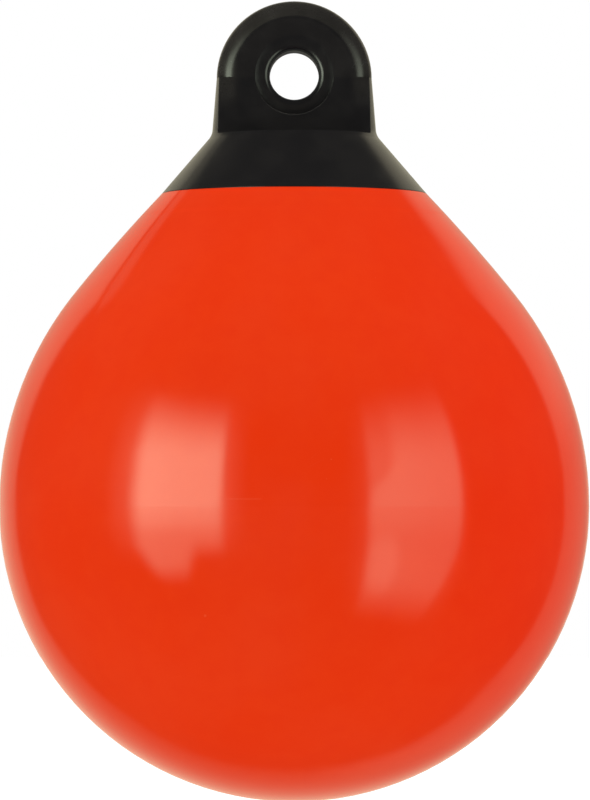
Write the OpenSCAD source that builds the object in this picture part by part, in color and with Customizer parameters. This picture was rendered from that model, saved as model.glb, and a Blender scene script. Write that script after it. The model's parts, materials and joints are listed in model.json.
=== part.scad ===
// Inflatable ball buoy with a moulded rope hold and an inflation valve.
// The origin is the centre of the rope eye. X runs across the lug, Y along the bore, Z up.
// Lengths are in millimetres and angles in degrees.

/* [Ball] */
// Radius of the round lower half
ball_r = 150; // [140:1:160]
// Amount by which the radius of the flank arc above the widest part is larger
flank_extra = 23; // [15:1:30]
// Slope from the vertical at which the flank arc ends
flank_end = 38.7; // [34:0.1:42]
// Radius of the flatter arc between the flank and the seam
upper_r = 800; // [500:10:1200]
// Height of the seam above the top that a whole round ball would have
seam_rise = 9; // [4:0.5:14]
// Thickness of the skin
skin = 3; // [2:0.1:5]

/* [Shoulder of the rope hold] */
// Height of the rim above the seam
shoulder_h = 30; // [27:0.5:33]
// Height of the rope eye above the rim
eye_rise = 30.2; // [28:0.1:33]
// Radius of the hollow where the roof meets it
roof_r = 32; // [28:0.5:34]
// Thickness of the roof below the rim
roof = 9; // [7:0.5:12]
// Thickness of the skirt that lies inside the skin
skirt = 3; // [2:0.1:4]
// Depth of the skirt below the seam
skirt_depth = 13; // [8:0.5:20]
// Clearance between the skirt and the skin
skirt_gap = 0.1; // [0.05:0.05:0.3]

/* [Lug] */
// Radius of the round top
lug_r = 39.5; // [38:0.1:41]
// Height of the rope eye above the centre of the round top
eye_lift = 1.2; // [0:0.1:2]
// Half of the thickness of the round top
lug_half = 10.5; // [10:0.5:13]
// Rounding of the edge of the round top
lug_round = 9.5; // [6:0.5:9.5]
// Slope of the sides below the round top, from the vertical
side_draft = 4.7; // [2:0.1:6]
// Rounding between the sides and the shoulder
side_fillet = 8; // [4:0.5:10]
// Half of the thickness where the faces reach the rim
foot_half = 16; // [14:0.5:19]
// Rounding between the faces and the rim
foot_fillet = 3; // [1:0.5:5]

/* [Rope eye] */
// Radius of the bore
eye_r = 12.5; // [11:0.1:13.5]
// Rounding at each end of the bore
eye_round = 3; // [1:0.1:3.5]
// Radius of the raised lip around the eye
lip_r = 20; // [18:0.1:21]
// Height of the lip above the face
lip_rise = 0.5; // [0.3:0.1:1.5]
// Draft of the pocket that the lip lies in, where the faces are thicker
pocket_draft = 10; // [2:1:20]

/* [Inflation valve] */
// Radius of the boss on the back of the shoulder
boss_r = 12; // [11.5:0.1:13]
// Height of the boss above the shoulder, at its centre
boss_rise = 1.5; // [1:0.1:2.5]
// Radius of the flange of the valve body
flange_r = 9.5; // [9:0.1:10.5]
// Thickness of the flange
flange_t = 4; // [3.5:0.1:4.5]
// Height of the flange above the boss
flange_rise = 0.6; // [0.2:0.1:1]
// Radius of the barrel of the valve body
barrel_r = 6.5; // [5.5:0.1:7]
// Length of the valve body
body_l = 16.6; // [15:0.1:20]
// Clearance between the valve body and the rope hold
body_gap = 0.05; // [0.05:0.05:0.2]
// Radius of the recess around the head of the screw
recess_r = 7; // [6.8:0.1:7.5]
// Depth of that recess
recess_d = 2.4; // [2:0.1:2.6]
// Radius of the head of the screw
head_r = 6.2; // [5.8:0.1:6.5]
// Thickness of the head
head_t = 2.4; // [2:0.1:4]
// Radius of the shank of the screw
shank_r = 3; // [2.5:0.1:3.4]
// Length of the shank
shank_l = 14; // [12:0.1:15]
// Radial clearance between the shank and the valve body
shank_gap = 0.08; // [0.05:0.01:0.1]
// Width of the slot in the head
slot_w = 1.6; // [1:0.1:2.5]
// Depth of the slot
slot_d = 1.4; // [0.8:0.1:1.6]
// Thickness of the sealing ring
seal_t = 1.8; // [1.4:0.1:2.2]
// Clearance on each side of the sealing ring
seal_gap = 0.02; // [0.01:0.01:0.05]
// Chamfer on the edges of the flange, the head and the shank
edge = 0.5; // [0.2:0.1:0.8]

/* [Hidden] */
$fn = 180;
// Length by which a cutter passes the surface it cuts
over = 1;
// Depth by which an arc crosses a line or an arc that it would only touch
hair = 0.002;
// Height of the centre of the lug's round top, and height of that centre above the rim
round_z = -eye_lift;
round_rise = eye_rise - eye_lift;
// Heights of the rim, the roof of the hollow, the seam, the end of the skirt and the ball's centre
rim_z = -eye_rise;
roof_z = rim_z - roof;
seam_z = rim_z - shoulder_h;
skirt_z = seam_z - skirt_depth;
ball_z = seam_z - seam_rise - ball_r;
// Radius of the flank arc, which meets the round half at the widest part
flank_r = ball_r + flank_extra;
// Centre of the flatter arc, which carries on from the end of the flank arc
upper_x = (flank_r - upper_r) * cos(flank_end) - flank_extra;
upper_z = (flank_r - upper_r) * sin(flank_end) + ball_z;
// Depths of the skirt's outside and inside below the outer surface
skirt_out = skin + skirt_gap;
skirt_in = skirt_out + skirt;
// Radii of the outer surface and of the hollow at the seam
seam_r = upper_at(0, seam_z);
hollow_r = upper_at(skirt_in, seam_z);
// Radius of the lug's round sides at their top, where they hold the rim of the round top
side_r = norm([lug_r, lug_half - lug_round]);
// Radius at which the sides would meet the shoulder, without the rounding between them
rim_r = side_r + round_rise * tan(side_draft);
// Slopes of the shoulder and of the lug's faces from the vertical
shoulder_slope = atan((seam_r - rim_r) / shoulder_h);
face_slope = atan((foot_half - lug_half) / round_rise);
// Distances from the corners to the ends of their roundings
side_run = side_fillet * tan((shoulder_slope - side_draft) / 2);
foot_run = foot_fillet / tan((90 + face_slope) / 2);
// Depths of the lip's crest and of the straight wall of the bore from the middle of the lug
crest = lug_half + lip_rise;
wall_half = crest - eye_round;
// Radius of the lip's crest, and of the arc that falls from it to the face
crest_r = eye_r + eye_round;
lip_arc = (pow(lip_r - crest_r, 2) + pow(lip_rise, 2)) / (2 * lip_rise);
// Heights in the frame of the valve, where zero is the face of the boss
flange_z = flange_rise - flange_t;
seat_z = flange_rise - recess_d;
head_z = seat_z + seal_t + 2 * seal_gap;

// Radius of the flatter arc at a height, for a surface that lies a depth inside the outer one
function upper_at(depth, z) = upper_x + sqrt(pow(upper_r - hair - depth, 2) - pow(z - upper_z, 2));

// Radii of the shoulder's cone and of the hollow's cone at a height
function shoulder_at(z) = rim_r + (rim_z - z) * tan(shoulder_slope);
function hollow_at(z) = hollow_r + (hollow_r - roof_r) * (seam_z - z) / (roof_z - seam_z);

// Half outline of the ball, a depth inside the outer surface and up to a given height
module ball_outline(depth, top_z) {
    join_z = (flank_r - depth) * sin(flank_end) + ball_z;
    intersection() {
        translate([0, ball_z]) circle(ball_r - depth);
        translate([0, ball_z - ball_r]) square(ball_r);
    }
    intersection() {
        translate([-flank_extra, ball_z]) circle(flank_r - depth);
        translate([0, ball_z]) square([ball_r, join_z - ball_z + 4 * over]);
    }
    intersection() {
        translate([upper_x, upper_z]) circle(upper_r - hair - depth, $fn = 4 * $fn);
        translate([0, join_z]) square([ball_r, top_z - join_z]);
    }
}

// Skin of the ball, open at the seam
module ball_shell() {
    color([0.9, 0.22, 0.09])
        rotate_extrude()
            difference() {
                ball_outline(0, seam_z);
                ball_outline(skin, seam_z + over);
            }
}

// Half outline of the shoulder under the rim, with the skirt that lies inside the skin
module shoulder_outline() {
    top_z = rim_z - over;
    base_z = seam_z + skirt_gap;
    polygon([[0, top_z], [shoulder_at(top_z), top_z], [shoulder_at(base_z), base_z], [0, base_z]]);
    intersection() {
        ball_outline(skirt_out, base_z + over);
        translate([0, skirt_z]) square([ball_r, base_z + over - skirt_z]);
    }
}

// Half outline of the hollow, a cone under the roof that meets the inside of the skirt at the seam
module hollow_outline() {
    low_z = skirt_z - over;
    intersection() {
        ball_outline(skirt_in, roof_z);
        polygon([[0, low_z], [hollow_at(low_z), low_z], [roof_r, roof_z], [0, roof_z]]);
    }
}

// Half outline of the lug's round sides below the round top, run into the shoulder by a fillet
module side_outline() {
    start = [rim_r - side_run * sin(side_draft), rim_z + side_run * cos(side_draft)];
    end = [rim_r + side_run * sin(shoulder_slope), rim_z - side_run * cos(shoulder_slope)];
    difference() {
        polygon([[0, round_z], [side_r, round_z], start, end, [0, end[1]]]);
        translate(start + side_fillet * [cos(side_draft), sin(side_draft)]) circle(side_fillet + hair);
    }
}

// Half section of the lug across its faces, which thicken down to the flat rim
module face_outline() {
    start = [foot_half - foot_run * sin(face_slope), rim_z + foot_run * cos(face_slope)];
    end = [foot_half + foot_run, rim_z];
    difference() {
        polygon([
            [0, round_z], [lug_half, round_z], start, end,
            [ball_r, rim_z], [ball_r, roof_z], [0, roof_z]
        ]);
        translate(end + [0, foot_fillet]) circle(foot_fillet + hair);
    }
}

// Lower part of the lug, with round sides and flat faces
module lug_foot() {
    intersection() {
        rotate_extrude() side_outline();
        rotate([90, 0, 90])
            translate([0, 0, -ball_r])
                linear_extrude(2 * ball_r) {
                    face_outline();
                    mirror([1, 0]) face_outline();
                }
    }
}

// Corner that a rounding takes off an outline, to the upper right of its centre
module round_corner(centre, r) {
    translate(centre)
        difference() {
            square(r + over);
            circle(r + hair);
        }
}

// Half section of the round top, from the middle of the lug to one face
module top_outline() {
    difference() {
        square([lug_r, lug_half]);
        round_corner([lug_r - lug_round, lug_half - lug_round], lug_round);
    }
}

// Half section of the raised lip around the eye
module lip_outline() {
    square([crest_r, crest]);
    intersection() {
        translate([crest_r, crest - lip_arc]) circle(lip_arc);
        translate([crest_r - over, 0]) square([lip_r - crest_r + over, crest]);
    }
}

// Half section of the eye, with its rounded end
module eye_outline() {
    square([eye_r, crest + over]);
    translate([eye_r - over, 0])
        difference() {
            translate([0, wall_half]) square([eye_round + over, eye_round + over]);
            translate([eye_round + over, wall_half]) circle(eye_round);
        }
}

// Turns a half section about the bore's axis and mirrors it to both faces
module both_faces() {
    for (side = [-1, 1])
        rotate([side * 90, 0, 0])
            rotate_extrude() children();
}

// Places a piece in the frame of the valve, with +Z straight out of the shoulder
module at_valve() {
    translate([0, (rim_r + seam_r) / 2, (rim_z + seam_z) / 2])
        rotate([shoulder_slope - 90, 0, 0])
            translate([0, 0, boss_rise])
                children();
}

// Moulded top with the lug, the rope eye and the seat of the valve
module rope_hold() {
    color([0.06, 0.06, 0.065])
        difference() {
            union() {
                rotate_extrude() shoulder_outline();
                difference() {
                    lug_foot();
                    both_faces()
                        translate([0, lug_half])
                            polygon([[0, 0], [lip_r, 0], [lip_r + ball_r * tan(pocket_draft), ball_r], [0, ball_r]]);
                }
                translate([0, 0, round_z]) both_faces() top_outline();
                both_faces() lip_outline();
                at_valve() translate([0, 0, -boss_rise - 3]) cylinder(h = boss_rise + 3, r = boss_r);
            }
            rotate_extrude() hollow_outline();
            both_faces() eye_outline();
            at_valve() {
                translate([0, 0, flange_z]) cylinder(h = flange_t, r = flange_r + body_gap);
                translate([0, 0, -2 * body_l]) cylinder(h = 2 * body_l, r = barrel_r + body_gap);
            }
        }
}

// Insert of the valve, with a flange, a recess for the screw and a plain bore
module valve_body() {
    bore_r = shank_r + shank_gap;
    end_z = flange_rise - body_l;
    color([0.85, 0.84, 0.78])
        at_valve()
            rotate_extrude()
                polygon([
                    [bore_r, end_z], [barrel_r, end_z], [barrel_r, flange_z], [flange_r, flange_z],
                    [flange_r, flange_rise - edge], [flange_r - edge, flange_rise],
                    [recess_r, flange_rise], [recess_r, seat_z], [bore_r, seat_z]
                ]);
}

// Sealing ring, pressed between the seat and the head of the screw
module valve_seal() {
    color([0.03, 0.03, 0.03])
        at_valve()
            translate([0, 0, seat_z + seal_gap + seal_t / 2])
                rotate_extrude()
                    translate([(shank_r + head_r) / 2, 0]) circle(seal_t / 2);
}

// Plug screw with a slotted head
module valve_screw() {
    top_z = head_z + head_t;
    tip_z = head_z - shank_l;
    color([0.1, 0.1, 0.1])
        at_valve()
            difference() {
                rotate_extrude()
                    polygon([
                        [0, tip_z], [shank_r - edge, tip_z], [shank_r, tip_z + edge], [shank_r, head_z],
                        [head_r, head_z], [head_r, top_z - edge], [head_r - edge, top_z], [0, top_z]
                    ]);
                translate([-head_r - over, -slot_w / 2, top_z - slot_d])
                    cube([2 * (head_r + over), slot_w, slot_d + over]);
            }
}

ball_shell();
rope_hold();
valve_body();
valve_seal();
valve_screw();
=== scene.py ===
"""Looks of the inflatable ball buoy: materials, the threaded plug of its valve, the studio and the camera.

Lengths are in metres in the part's own frame: the rope eye is at the origin and +Z is up.
"""

import json
import math

import bmesh
import bpy
from mathutils import Matrix, Vector


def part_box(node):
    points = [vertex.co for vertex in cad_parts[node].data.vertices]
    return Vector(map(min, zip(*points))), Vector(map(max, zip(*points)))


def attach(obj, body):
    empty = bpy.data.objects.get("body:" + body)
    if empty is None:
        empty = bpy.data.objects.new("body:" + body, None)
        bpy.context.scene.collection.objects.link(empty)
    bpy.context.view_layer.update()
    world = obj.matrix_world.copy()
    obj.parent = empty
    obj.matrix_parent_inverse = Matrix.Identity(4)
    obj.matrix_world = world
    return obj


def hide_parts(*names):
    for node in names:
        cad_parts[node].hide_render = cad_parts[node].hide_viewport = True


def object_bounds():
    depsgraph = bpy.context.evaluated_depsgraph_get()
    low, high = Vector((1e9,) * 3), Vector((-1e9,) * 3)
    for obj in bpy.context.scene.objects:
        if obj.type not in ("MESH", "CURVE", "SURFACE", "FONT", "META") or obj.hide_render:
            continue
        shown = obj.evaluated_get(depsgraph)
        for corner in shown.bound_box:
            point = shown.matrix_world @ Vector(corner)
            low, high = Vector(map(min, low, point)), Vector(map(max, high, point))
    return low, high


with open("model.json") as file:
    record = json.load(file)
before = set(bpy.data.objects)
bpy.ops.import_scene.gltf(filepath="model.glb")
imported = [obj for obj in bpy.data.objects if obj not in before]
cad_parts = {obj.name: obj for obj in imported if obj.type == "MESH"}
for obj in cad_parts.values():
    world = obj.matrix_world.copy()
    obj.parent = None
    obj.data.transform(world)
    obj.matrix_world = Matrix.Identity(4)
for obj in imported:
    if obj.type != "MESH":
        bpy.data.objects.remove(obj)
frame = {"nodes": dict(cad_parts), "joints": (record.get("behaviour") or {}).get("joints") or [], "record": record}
cad_low, cad_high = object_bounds()
nodes = frame["nodes"]
scene = bpy.context.scene

# Sizes that the looks depend on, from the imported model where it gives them
BALL_R = 0.150
SKIRT_DEPTH = 0.013                         # reach of the moulding's skirt into the skin
ROUND_R = 0.0395                            # round top of the lug
FLOOR_DROP = 0.302                          # floor below the middle of the ball

BALL_Z = cad_low[2] + BALL_R                # centre of the ball
SEAM_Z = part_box("ball_shell")[1][2]         # where the skin meets the moulding
SKIRT_Z = SEAM_Z - SKIRT_DEPTH              # end of the skirt
EYE_R = frame["record"]["mounts"][0]["dims"]["r_mm"] / 1000     # bore of the rope eye
ROUND_Z = cad_high[2] - ROUND_R             # centre of the lug's round top
FLOOR_Z = BALL_Z - FLOOR_DROP               # the buoy hangs above the floor


# Node helpers

class Graph:
    """A short way to build a node tree."""

    def __init__(self, tree):
        self.tree = tree
        tree.nodes.clear()

    def add(self, kind, inputs=None, **settings):
        node = self.tree.nodes.new(kind)
        for key, value in settings.items():
            setattr(node, key, value)
        for key, value in (inputs or {}).items():
            self.put(node.inputs[key], value)
        return node

    def put(self, socket, value):
        if isinstance(value, bpy.types.NodeSocket):
            self.tree.links.new(value, socket)
        else:
            socket.default_value = value

    def math(self, operation, *values, clamp=False):
        node = self.add("ShaderNodeMath", operation=operation, use_clamp=clamp)
        for i, value in enumerate(values):
            self.put(node.inputs[i], value)
        return node.outputs[0]

    def sum(self, *values):
        total = values[0]
        for value in values[1:]:
            total = self.math("ADD", total, value)
        return total

    def product(self, *values):
        total = values[0]
        for value in values[1:]:
            total = self.math("MULTIPLY", total, value)
        return total

    def length(self, a, b):
        """Length of the line with the two sides a and b."""
        return self.math("SQRT", self.sum(self.product(a, a), self.product(b, b)))

    def ramp(self, value, low, high, out_low=0.0, out_high=1.0):
        """value from low..high mapped smoothly to out_low..out_high, held beyond the ends."""
        node = self.add(
            "ShaderNodeMapRange",
            {0: value, 1: low, 2: high, 3: out_low, 4: out_high},
            interpolation_type="SMOOTHSTEP",
        )
        return node.outputs[0]

    def band(self, value, low, low_end, high_end, high):
        """1 between low_end and high_end, falling to 0 at low and high."""
        return self.product(self.ramp(value, low, low_end), self.ramp(value, high_end, high, 1.0, 0.0))

    def noise(self, coords, scale, detail=2.0, rough=0.5):
        inputs = {"Vector": coords, "Scale": scale, "Detail": detail, "Roughness": rough}
        return self.add("ShaderNodeTexNoise", inputs).outputs[0]

    def mix(self, factor, a, b):
        """Mixes two colours."""
        node = self.add("ShaderNodeMix", data_type="RGBA")
        self.put(node.inputs[0], factor)
        self.put(node.inputs[6], a)
        self.put(node.inputs[7], b)
        return node.outputs[2]

    def blend(self, factor, a, b):
        """Mixes two numbers."""
        return self.add("ShaderNodeMix", {0: factor, 2: a, 3: b}, data_type="FLOAT").outputs[0]

    def tint(self, colour, level):
        """A colour times a number, for light that may be stronger than 1."""
        node = self.add("ShaderNodeVectorMath", {0: colour, 3: level}, operation="SCALE")
        return node.outputs[0]

    def glow(self, colour, strength=1.0):
        return self.add("ShaderNodeEmission", {"Color": colour, "Strength": strength}).outputs[0]

    def soft_edges(self, radius, samples=4):
        """Normals of edges that are rounded by a radius."""
        return self.add("ShaderNodeBevel", {"Radius": radius}, samples=samples).outputs[0]

    def relief(self, height, normal=None):
        """Normals of a relief with a height in metres, laid over other normals."""
        inputs = {"Strength": 1.0, "Distance": 1.0, "Height": height}
        if normal is not None:
            inputs["Normal"] = normal
        return self.add("ShaderNodeBump", inputs).outputs[0]

    def coords(self):
        """Object coordinates, in metres. Those of a CAD node are in the part's frame."""
        return self.add("ShaderNodeTexCoord").outputs["Object"]

    def split(self, vector):
        return self.add("ShaderNodeSeparateXYZ", {0: vector}).outputs

    def squash(self, vector, scale):
        return self.add("ShaderNodeMapping", {"Vector": vector, "Scale": scale}).outputs[0]

    def degrees(self, radians):
        return self.math("DEGREES", radians)


def rgb(r, g, b):
    return (r, g, b, 1.0)


WHITE = rgb(1.0, 1.0, 1.0)


def new_material(name):
    material = bpy.data.materials.new(name)
    material.use_nodes = True
    return material, Graph(material.node_tree)


def finish_material(g, **inputs):
    """Adds the shader and the output. Plain values stay on the shader's own sockets."""
    shader = g.add("ShaderNodeBsdfPrincipled", {k.replace("_", " "): v for k, v in inputs.items()})
    g.add("ShaderNodeOutputMaterial", {"Surface": shader.outputs[0]})


def scratches(g, coords, turn, scale, stretch, share):
    """Thin sparse lines: stretched cells whose edges show only where a second noise lets them."""
    turned = g.add("ShaderNodeMapping", {"Vector": coords, "Rotation": turn}).outputs[0]
    thin = g.squash(turned, (1.0, stretch, stretch * 0.8))
    cells = g.add(
        "ShaderNodeTexVoronoi", {"Vector": thin, "Scale": scale}, feature="DISTANCE_TO_EDGE"
    ).outputs["Distance"]
    line = g.ramp(cells, 0.0, 0.02, 1.0, 0.0)
    patch = g.ramp(g.noise(coords, scale * 0.7, 2.0), 1.0 - share, 1.04 - share)
    return g.product(line, patch)


# Materials

# Marks on the front of the skin, from the middle of the ball
SCRATCH_LEFT, SCRATCH_RIGHT, SCRATCH_RISE = -0.0340, -0.0145, 0.0036
SCRATCH_FADE_IN, SCRATCH_FADE_OUT = 0.004, 0.003
SPECK_X, SPECK_RISE = -0.0431, -0.0529

# Colours of the skin, each from its darker to its paler tone: a more orange left side and a redder right side, a
# difference of painted light and shade between the sides
PAINTED_LIT_SIDE = rgb(0.778, 0.032, 0.0016), rgb(0.792, 0.037, 0.0023)
PAINTED_SHADED_SIDE = rgb(0.775, 0.024, 0.0014), rgb(0.789, 0.028, 0.0020)
RUBBED = rgb(0.86, 0.20, 0.09)

# Heights of the skin's relief
STEP_RISE = 0.00016                         # over the end of the skirt
WAVE_RISE = 0.0010                          # slow waviness of the blown skin
SKIN_GRAIN = 0.0000035
RUB_DEPTH = 0.000012


def skin_material():
    """Glossy orange soft PVC: faintly mottled, with painted shade that makes it redder towards its right side, and
    a few rub marks.

    A faint step shows over the end of the skirt that lies inside the skin. A short scratch and a speck lie
    on the front.
    """
    material, g = new_material("skin_orange_pvc")
    at = g.coords()
    x, y, z = g.split(at)[:3]
    broad = g.noise(at, 11.0, 3.0)
    fine = g.noise(at, 95.0, 3.0, 0.55)
    grain = g.noise(at, 900.0, 2.0)
    tone = g.ramp(g.sum(g.product(broad, 0.55), g.product(fine, 0.45)), 0.36, 0.64)
    # painted light and shade: the skin turns from the lit, more orange tone on the left to the shaded, redder tone
    # on the right
    colour = g.mix(g.ramp(x, 0.01, 0.14), g.mix(tone, *PAINTED_LIT_SIDE), g.mix(tone, *PAINTED_SHADED_SIDE))
    rub = scratches(g, at, (0.3, 0.5, 0.2), 26.0, 9.0, 0.30)
    speck = g.ramp(
        g.add("ShaderNodeTexVoronoi", {"Vector": at, "Scale": 120.0}).outputs["Distance"],
        0.035, 0.055, 1.0, 0.0,
    )
    speck = g.product(speck, g.ramp(g.noise(at, 35.0, 1.0), 0.66, 0.70))
    mark = g.math("MAXIMUM", g.product(rub, 0.10), g.product(speck, 0.30))
    front = g.ramp(y, -0.10, -0.05, 1.0, 0.0)
    from_line = g.math("ABSOLUTE", g.math("SUBTRACT", z, BALL_Z + SCRATCH_RISE))
    scratch = g.product(
        g.ramp(from_line, 0.00015, 0.00045, 1.0, 0.0),
        g.band(
            x, SCRATCH_LEFT, SCRATCH_LEFT + SCRATCH_FADE_IN, SCRATCH_RIGHT - SCRATCH_FADE_OUT, SCRATCH_RIGHT
        ),
    )
    across, along = g.math("SUBTRACT", x, SPECK_X), g.math("SUBTRACT", z, BALL_Z + SPECK_RISE)
    spot = g.ramp(g.length(across, along), 0.0004, 0.0009, 1.0, 0.0)
    on_front = g.math("MAXIMUM", g.product(scratch, 0.12), g.product(spot, 0.22))
    mark = g.math("MAXIMUM", mark, g.product(front, on_front))
    colour = g.mix(mark, colour, RUBBED)
    rough = g.ramp(g.noise(at, 22.0, 4.0, 0.6), 0.3, 0.7, 0.085, 0.120)
    rough = g.math("ADD", rough, g.product(rub, 0.12), clamp=True)
    step = g.ramp(z, SKIRT_Z + 0.0006, SKIRT_Z + 0.0034)
    wave = g.noise(at, 7.0, 2.0)
    height = g.sum(
        g.product(step, STEP_RISE), g.product(wave, WAVE_RISE),
        g.product(grain, SKIN_GRAIN), g.product(rub, -RUB_DEPTH),
    )
    finish_material(
        g, Base_Color=colour, Roughness=rough, IOR=1.5, Normal=g.relief(height),
        Sheen_Weight=0.40, Sheen_Roughness=0.3, Sheen_Tint=rgb(1.0, 0.16, 0.10),
    )
    return material


# Colours of the moulding and of the painted light on its round edge and sides, each from its darker to its paler
# tone
BLACK_PVC = rgb(0.0074, 0.0074, 0.0080), rgb(0.0108, 0.0105, 0.0104)
PAINTED_EDGE_LIGHT = rgb(0.0180, 0.0168, 0.0135), rgb(0.0260, 0.0245, 0.0200)
GREYED = rgb(0.040, 0.040, 0.040)

# Where the painted light lies on the lug
LIT_EDGE_WIDE, LIT_EDGE_FULL = 0.0088, 0.0076  # painted light band at the edge of the round top: whole, fully painted
LIT_SIDE_START, LIT_SIDE_FULL = 0.0275, 0.0330  # distance from the middle at which the sides turn paler with painted light


def moulding_material():
    """Satin black soft PVC with moulded edges, a fine grain and greyed rub marks.

    The edge of the lug's round top and the sides under it are a little rougher and carry painted light, a paler
    warm tone that is stronger on the left, and the bore is matt where the rope runs.
    """
    material, g = new_material("moulding_black_pvc")
    at = g.coords()
    x, _, z = g.split(at)[:3]
    bore = g.ramp(g.length(x, z), EYE_R + 0.0002, EYE_R + 0.0012, 1.0, 0.0)
    above = g.math("SUBTRACT", z, ROUND_Z)
    edge_band = g.ramp(g.length(x, above), ROUND_R - LIT_EDGE_WIDE, ROUND_R - LIT_EDGE_FULL)
    side_band = g.ramp(g.math("ABSOLUTE", x), LIT_SIDE_START, LIT_SIDE_FULL)
    on_top = g.product(edge_band, g.ramp(above, -0.0004, 0.0004))
    on_sides = g.product(side_band, g.ramp(above, -0.018, -0.003, 0.0, 0.70))
    dull_and_painted_light = g.math("MAXIMUM", on_top, on_sides)
    cloud = g.noise(at, 60.0, 4.0, 0.6)
    grain = g.noise(at, 1400.0, 3.0, 0.6)
    rub = scratches(g, at, (0.9, 0.2, 0.6), 60.0, 7.0, 0.30)
    colour = g.mix(g.ramp(cloud, 0.35, 0.68), *BLACK_PVC)
    edge_light = g.mix(g.ramp(cloud, 0.3, 0.7), *PAINTED_EDGE_LIGHT)
    # painted light: a paler warm tone on the round top's edge and the sides under it, stronger on the left where
    # the brighter lamp falls
    colour = g.mix(g.product(dull_and_painted_light, g.ramp(x, -0.02, 0.03, 1.0, 0.65)), colour, edge_light)
    colour = g.mix(g.product(rub, 0.35), colour, GREYED)
    rough = g.ramp(cloud, 0.3, 0.7, 0.16, 0.23)
    rough = g.sum(rough, g.product(rub, 0.15), g.product(bore, 0.75), g.product(dull_and_painted_light, 0.05))
    height = g.sum(g.product(grain, 0.000010), g.product(cloud, 0.00006))
    normal = g.relief(height, g.soft_edges(0.0006, samples=6))
    finish_material(
        g, Base_Color=colour, Roughness=rough, IOR=1.56, Normal=normal,
        Specular_Tint=rgb(1.0, 0.91, 1.0),
        Sheen_Weight=0.12, Sheen_Roughness=0.3, Sheen_Tint=rgb(1.0, 0.96, 0.84),
    )
    return material


def insert_material():
    """Off-white hard plastic of the valve's insert, with patches of dirt."""
    material, g = new_material("valve_insert_plastic")
    at = g.coords()
    cloud = g.noise(at, 260.0, 4.0, 0.6)
    dirt = g.ramp(g.noise(at, 700.0, 3.0), 0.52, 0.72)
    colour = g.mix(g.ramp(cloud, 0.3, 0.7), rgb(0.62, 0.60, 0.53), rgb(0.70, 0.68, 0.61))
    colour = g.mix(g.product(dirt, 0.35), colour, rgb(0.34, 0.32, 0.28))
    rough = g.ramp(cloud, 0.3, 0.7, 0.32, 0.45)
    normal = g.relief(g.product(cloud, 0.00002), g.soft_edges(0.0002))
    finish_material(g, Base_Color=colour, Roughness=rough, IOR=1.5, Normal=normal)
    return material


def seal_material():
    """Matt black rubber."""
    material, g = new_material("valve_seal_rubber")
    at = g.coords()
    cloud = g.noise(at, 900.0, 3.0, 0.6)
    colour = g.mix(cloud, rgb(0.010, 0.010, 0.010), rgb(0.022, 0.021, 0.020))
    rough = g.ramp(cloud, 0.3, 0.7, 0.50, 0.68)
    normal = g.relief(g.product(cloud, 0.00001))
    finish_material(g, Base_Color=colour, Roughness=rough, IOR=1.5, Normal=normal)
    return material


def plug_material():
    """Black nylon of the plug, worn grey in spots."""
    material, g = new_material("plug_black_nylon")
    at = g.coords()
    cloud = g.noise(at, 420.0, 4.0, 0.6)
    worn = g.ramp(g.noise(at, 1500.0, 3.0), 0.55, 0.75)
    colour = g.mix(cloud, rgb(0.012, 0.012, 0.013), rgb(0.024, 0.024, 0.025))
    colour = g.mix(g.product(worn, 0.25), colour, rgb(0.07, 0.07, 0.07))
    rough = g.ramp(cloud, 0.3, 0.7, 0.28, 0.42)
    normal = g.relief(g.product(cloud, 0.000015), g.soft_edges(0.00015))
    finish_material(g, Base_Color=colour, Roughness=rough, IOR=1.5, Normal=normal)
    return material


def dress(name, material):
    """Gives a CAD node its material."""
    data = nodes[name].data
    data.materials.clear()
    data.materials.append(material)


dress("ball_shell", skin_material())
dress("rope_hold", moulding_material())
dress("valve_body", insert_material())
dress("valve_seal", seal_material())


# The plug

# The plug's own frame has its origin at the joint, and its +Z points out of the ball
valve_turn = next(joint for joint in frame["joints"] if joint["name"] == "valve_turn")
VALVE_AT = Vector(valve_turn["pos_m"])
VALVE_AXIS_Y = valve_turn["axis"][1]

HEAD_R = 0.0062
HEAD_LOW, HEAD_TOP = 0.00004, 0.00244
HEAD_ROUND = 0.0005                         # rounded edges of the head
HEAD_ARC_STEPS = 6                          # steps of each rounded edge
TIP = -0.01396
TIP_CHAMFER = 0.0005
SLOT_WIDE, SLOT_DEEP = 0.0016, 0.0014

CREST_R, ROOT_R = 0.0030, 0.0026            # thread
PITCH = 0.002
THREAD_END = 0.001                          # plain length between the thread and the head
RUN_OUT = 0.75                              # share of a pitch over which the thread starts and ends
FLANKS_END = 0.80                           # shares of half a pitch, from the middle of the crest:
FLANK = 0.55                                # where the flank meets the root, and its width

ROUND_PARTS = 96                            # sides of the plug
ROWS_A_PITCH = 16
SHARP_ANGLE = 35                            # edges steeper than this many degrees stay sharp


def plug_rings():
    """Rings from the tip to the head's top as height, radius and how much of the thread stands there."""
    rings = [(TIP, ROOT_R - TIP_CHAMFER, 0.0)]
    thread_low, thread_high = TIP + TIP_CHAMFER, HEAD_LOW - THREAD_END
    rows = round((thread_high - thread_low) / PITCH * ROWS_A_PITCH)
    for i in range(rows + 1):
        height = thread_low + (thread_high - thread_low) * i / rows
        from_end = min(height - thread_low, thread_high - height)
        rings.append((height, ROOT_R, min(1.0, from_end / (PITCH * RUN_OUT))))
    rings.append((HEAD_LOW, ROOT_R, 0.0))
    for middle, start in ((HEAD_LOW + HEAD_ROUND, -90), (HEAD_TOP - HEAD_ROUND, 0)):
        for step in range(HEAD_ARC_STEPS + 1):
            a = math.radians(start + 90 * step / HEAD_ARC_STEPS)
            radius = HEAD_R - HEAD_ROUND + HEAD_ROUND * math.cos(a)
            rings.append((middle + HEAD_ROUND * math.sin(a), radius, 0.0))
    return rings


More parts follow.
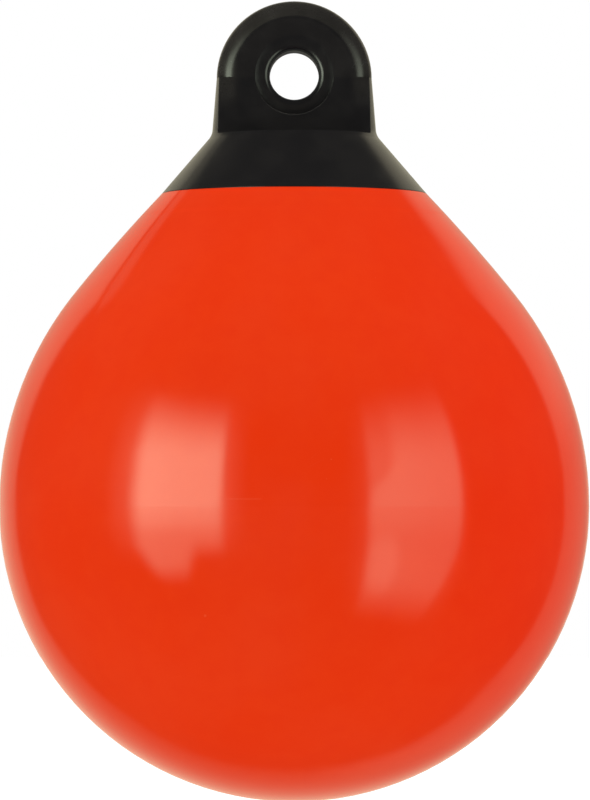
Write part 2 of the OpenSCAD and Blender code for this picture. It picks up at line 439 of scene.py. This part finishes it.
def thread_shape(turns):
    """Height of the thread between root 0 and crest 1, at a share of a pitch."""
    share = turns % 1.0
    rise = min(share, 1.0 - share) * 2.0
    return min(1.0, max(0.0, (FLANKS_END - rise) / FLANK))


def plug_mesh():
    """One closed skin with a right-hand thread."""
    points, faces = [], []
    rings = plug_rings()
    for height, radius, standing in rings:
        for k in range(ROUND_PARTS):
            a = 2 * math.pi * k / ROUND_PARTS
            r = radius + (CREST_R - ROOT_R) * standing * thread_shape(height / PITCH - k / ROUND_PARTS)
            points.append((r * math.cos(a), r * math.sin(a), height))
    for i in range(len(rings) - 1):
        for k in range(ROUND_PARTS):
            a, b = i * ROUND_PARTS + k, i * ROUND_PARTS + (k + 1) % ROUND_PARTS
            faces.append((a, b, b + ROUND_PARTS, a + ROUND_PARTS))
    faces.append(tuple(reversed(range(ROUND_PARTS))))
    faces.append(tuple(range(len(points) - ROUND_PARTS, len(points))))
    mesh = bpy.data.meshes.new("plug")
    mesh.from_pydata(points, [], faces)
    return mesh


def box_object(name, low, high):
    """A plain box between two corners."""
    mesh = bpy.data.meshes.new(name)
    build = bmesh.new()
    bmesh.ops.create_cube(build, size=1.0)
    for corner in build.verts:
        corner.co = [low[i] + (high[i] - low[i]) * (corner.co[i] + 0.5) for i in range(3)]
    build.to_mesh(mesh)
    build.free()
    obj = bpy.data.objects.new(name, mesh)
    scene.collection.objects.link(obj)
    return obj


def threaded_plug():
    """The plug with its real thread, in place of the plain screw of the CAD."""
    plug = bpy.data.objects.new("plug_threaded", plug_mesh())
    scene.collection.objects.link(plug)
    cutter = box_object(
        "slot_cutter",
        (-2 * HEAD_R, -SLOT_WIDE / 2, HEAD_TOP - SLOT_DEEP),
        (2 * HEAD_R, SLOT_WIDE / 2, HEAD_TOP + SLOT_DEEP),
    )
    cut = plug.modifiers.new("slot", "BOOLEAN")
    cut.operation = "DIFFERENCE"
    cut.solver = "EXACT"
    cut.object = cutter
    depsgraph = bpy.context.evaluated_depsgraph_get()
    mesh = bpy.data.meshes.new_from_object(plug.evaluated_get(depsgraph))
    plug.modifiers.clear()
    plug.data = mesh
    bpy.data.objects.remove(cutter)
    mesh.polygons.foreach_set("use_smooth", [True] * len(mesh.polygons))
    mesh.set_sharp_from_angle(angle=math.radians(SHARP_ANGLE))
    mesh.materials.clear()
    mesh.materials.append(plug_material())
    plug.matrix_world = Matrix.Translation(VALVE_AT) @ Matrix.Rotation(-math.asin(VALVE_AXIS_Y), 4, "X")
    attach(plug, "plug")
    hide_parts("valve_screw")


threaded_plug()


# Stage

def sheet_object(name, material, matrix, width, height):
    """A flat sheet of the studio."""
    mesh = bpy.data.meshes.new(name)
    w, h = width / 2, height / 2
    mesh.from_pydata([(-w, -h, 0), (w, -h, 0), (w, h, 0), (-w, h, 0)], [], [(0, 1, 2, 3)])
    mesh.materials.append(material)
    obj = bpy.data.objects.new(name, mesh)
    obj.matrix_world = matrix
    scene.collection.objects.link(obj)
    return obj


FLOOR_SIZE = 16.0
FLOOR_GREY = rgb(0.86, 0.86, 0.86)
FLOOR_SEEN = 0.22                           # light that the camera sees from the floor itself
FLOOR_GLOW = 1.10                           # light that the floor throws up


def floor_material():
    """Pale floor: white to the camera where it is lit, with the buoy's shadow, and an even light from below.

    The camera sees through it from below, and so does gloss, which shows the studio's light instead.
    """
    material, g = new_material("studio_floor")
    rays = g.add("ShaderNodeLightPath").outputs
    back = g.add("ShaderNodeNewGeometry").outputs["Backfacing"]
    lit = g.add("ShaderNodeBsdfDiffuse", {"Color": FLOOR_GREY}).outputs[0]
    camera_view = g.add("ShaderNodeAddShader", {0: lit, 1: g.glow(WHITE, FLOOR_SEEN)}).outputs[0]
    shown = g.add(
        "ShaderNodeMixShader", {0: rays["Is Camera Ray"], 1: g.glow(WHITE, FLOOR_GLOW), 2: camera_view}
    ).outputs[0]
    clear = g.add("ShaderNodeBsdfTransparent").outputs[0]
    through = g.math("MAXIMUM", g.product(back, rays["Is Camera Ray"]), rays["Is Glossy Ray"])
    shown = g.add("ShaderNodeMixShader", {0: through, 1: shown, 2: clear}).outputs[0]
    g.add("ShaderNodeOutputMaterial", {"Surface": shown})
    return material


SOFTBOX_FAR = 1.25                          # distance of the softboxes from the middle of the ball
SOFTBOX_COLOUR = (0.82, 1.0, 0.73)
LEFT_POWER, RIGHT_POWER = 4.5, 2.5
CORNERS_START = 12.0                        # degrees below the ball's middle where the lower corners start


def softbox(name, azimuth, elevation, wide, tall, light):
    """A softbox that shows in gloss only.

    Azimuth is from the camera's side, positive to the right, and angles are in degrees from the ball's
    centre. light(g, around, up) gives its brightness from those two angles.
    """
    a, e = math.radians(azimuth), math.radians(elevation)
    towards = Vector((math.sin(a) * math.cos(e), -math.cos(a) * math.cos(e), math.sin(e)))
    turn = towards.to_track_quat("Z", "Y").to_matrix().to_4x4()
    place = Matrix.Translation(Vector((0, 0, BALL_Z)) + towards * SOFTBOX_FAR) @ turn
    material, g = new_material(name)
    x, y, z = g.split(g.add("ShaderNodeNewGeometry").outputs["Position"])[:3]
    z = g.math("SUBTRACT", z, BALL_Z)
    around = g.degrees(g.math("ARCTAN2", x, g.product(y, -1.0)))
    up = g.degrees(g.math("ARCTAN2", z, g.length(x, y)))
    glow = g.glow(g.tint(SOFTBOX_COLOUR, light(g, around, up)))
    clear = g.add("ShaderNodeBsdfTransparent").outputs[0]
    seen = g.add("ShaderNodeAddShader", {0: glow, 1: clear}).outputs[0]
    g.add("ShaderNodeOutputMaterial", {"Surface": seen})
    obj = sheet_object(
        name, material, place,
        2 * SOFTBOX_FAR * math.tan(math.radians(wide / 2)),
        2 * SOFTBOX_FAR * math.tan(math.radians(tall / 2)),
    )
    obj.visible_camera = False
    obj.visible_diffuse = False
    obj.visible_shadow = False


def corner_cut(g, up, slope):
    """How far the outer edge draws in at a softbox's lower corner, in degrees."""
    return g.product(g.math("MAXIMUM", g.sum(g.product(up, -1.0), -CORNERS_START), 0.0), slope)


def left_light(g, around, up):
    """Tall and bright, with its lower corners cut off and a faint glow round it."""
    outer = g.ramp(g.math("SUBTRACT", around, corner_cut(g, up, 0.6)), -65.0, -56.5)
    inner = g.ramp(around, -28.5, -24.5, 1.0, 0.0)
    end = g.ramp(around, -43.0, -36.0, -26.0, -17.5)
    low = g.sum(
        g.product(g.ramp(g.math("SUBTRACT", up, end), -1.5, 8.0), 0.47),
        g.product(g.ramp(up, -11.0, 1.0), 0.53),
    )
    tall = g.product(g.ramp(up, 13.0, 35.0, 1.0, 0.0), low)
    slope = g.ramp(around, -60.0, -34.0, 1.06, 0.94)
    halo = g.product(g.band(around, -76.0, -63.0, -27.0, -16.0), g.band(up, -22.0, 2.0, 14.0, 37.0), 0.7)
    return g.sum(g.product(tall, outer, inner, slope, LEFT_POWER), halo)


def right_light(g, around, up):
    """Dimmer and taller, with a sharp outer edge, a dim upper inner corner and a bright spot low inside."""
    low = g.sum(g.product(g.ramp(up, -42.0, -23.0), 0.60), g.product(g.ramp(up, -12.0, 4.0), 0.40))
    tall = g.product(g.ramp(up, 11.0, 38.0, 1.0, 0.0), low)
    outer = g.ramp(g.sum(around, corner_cut(g, up, 0.24)), 62.0, 66.0, 1.0, 0.0)
    inner = g.ramp(around, 25.5, 29.5)
    corner = g.product(
        g.ramp(g.math("SUBTRACT", up, around), -28.0, -22.0), g.ramp(around, 34.0, 41.0, 1.0, 0.0)
    )
    slope = g.product(g.ramp(around, 34.0, 62.0, 1.0, 0.78), g.sum(1.0, g.product(corner, -0.45)))
    spot_x = g.product(g.sum(around, -34.0), 1.0 / 7.0)
    spot_y = g.product(g.sum(up, 20.0), 1.0 / 12.0)
    spot = g.ramp(g.sum(g.product(spot_x, spot_x), g.product(spot_y, spot_y)), 0.1, 1.3, 0.8, 0.0)
    halo = g.product(g.band(around, 18.0, 28.0, 60.0, 70.0), g.band(up, -42.0, -24.0, 18.0, 36.0), 0.25)
    return g.sum(g.product(g.sum(g.product(tall, slope, RIGHT_POWER), spot), inner, outer), halo)


sheet_object("floor", floor_material(), Matrix.Translation((0, 0, FLOOR_Z)), FLOOR_SIZE, FLOOR_SIZE)
softbox("softbox_left", azimuth=-49, elevation=7, wide=66, tall=84, light=left_light)
softbox("softbox_right", azimuth=44, elevation=0, wide=60, tall=96, light=right_light)


def backdrop_light(g, x, y, z):
    """Brightness of the lit backdrop behind the buoy, as gloss shows it, from a direction.

    It is a wide panel that is brightest low in its middle. On the left a thin dark gap parts it from a
    narrow panel above it, and on the right it reaches higher.
    """
    side = g.degrees(g.math("ARCTAN2", x, y))
    rise = g.degrees(g.math("ARCSINE", z))
    sag = g.product(side, side, 0.0094)
    right = g.ramp(side, -4.0, 4.0)
    top = g.blend(right, g.ramp(rise, 29.5, 30.8, 1.0, 0.0), g.ramp(rise, 31.0, 42.0, 1.0, 0.0))
    main = g.product(
        g.band(side, -44.5, -38.5, 48.0, 52.5), g.ramp(g.math("SUBTRACT", rise, sag), -64.0, -50.0), top
    )
    near = g.math("POWER", g.math("MAXIMUM", y, 0.0), 4.0)
    hot = g.sum(g.product(near, 0.76), 0.07)
    even = g.math("MAXIMUM", g.ramp(rise, -5.0, 15.0), g.ramp(side, 0.0, 22.0))
    high = g.ramp(rise, 4.0, 16.0)
    upper = g.blend(high, g.ramp(side, 0.0, 15.0, 0.33, 0.29), g.ramp(side, -10.0, 10.0, 0.46, 0.49))
    level = g.blend(even, hot, upper)
    narrow = g.product(g.band(side, -50.0, -46.0, -4.0, 4.0), g.band(rise, 31.6, 32.2, 36.3, 38.0), 0.25)
    return g.sum(g.product(main, level), narrow)


BACKDROP_COLOUR = (1.075, 1.0, 0.71)
FRONT_DIM, FRONT_SPOT = 0.045, 0.075        # least light that gloss sees, and more of it round the camera
EVEN, EVEN_TILT, EVEN_BOW = 1.40, 0.20, -0.55       # the even light, and how it changes with Y and Y squared


def studio_world():
    """White behind the buoy for the camera, a dim front and a lit backdrop for gloss, and an even light."""
    world = bpy.data.worlds.new("studio")
    scene.world = world
    world.use_nodes = True
    g = Graph(world.node_tree)
    rays = g.add("ShaderNodeLightPath").outputs
    x, y, z = g.split(g.add("ShaderNodeTexCoord").outputs["Generated"])[:3]
    front = g.sum(g.ramp(g.product(y, -1.0), 0.98, 1.0, 0.0, FRONT_SPOT), FRONT_DIM)
    gloss = g.tint(BACKDROP_COLOUR, g.math("MAXIMUM", backdrop_light(g, x, y, z), front))
    even = g.tint(WHITE[:3], g.sum(EVEN, g.product(y, EVEN_TILT), g.product(y, y, EVEN_BOW)))
    colour = g.mix(rays["Is Glossy Ray"], even, gloss)
    white = g.math("MAXIMUM", rays["Is Camera Ray"], rays["Is Transmission Ray"])
    colour = g.mix(white, colour, WHITE)
    light = g.add("ShaderNodeBackground", {"Color": colour, "Strength": 1.0}).outputs[0]
    g.add("ShaderNodeOutputWorld", {"Surface": light})


studio_world()


# Camera: a long lens, level with the middle of the ball, whose picture the buoy just fills

DISTANCE = 2.75
PICTURE_H = 0.4074
CAMERA_X = 0.0004
AIM_RISE = 0.0542                           # the point it aims at, above the middle of the ball
SENSOR = 36.0                               # in millimetres
SIGHT = 60.0                                # nothing further off than this is drawn
camera = bpy.data.objects.new("camera", bpy.data.cameras.new("camera"))
scene.collection.objects.link(camera)
camera.location = (CAMERA_X, -DISTANCE, BALL_Z)
aim = Vector((CAMERA_X, 0.0, BALL_Z + AIM_RISE))
camera.rotation_euler = (aim - camera.location).to_track_quat("-Z", "Y").to_euler()
camera.data.sensor_width = SENSOR
camera.data.lens = SENSOR * DISTANCE / PICTURE_H
camera.data.clip_end = SIGHT
scene.camera = camera
scene.view_settings.view_transform = "Standard"
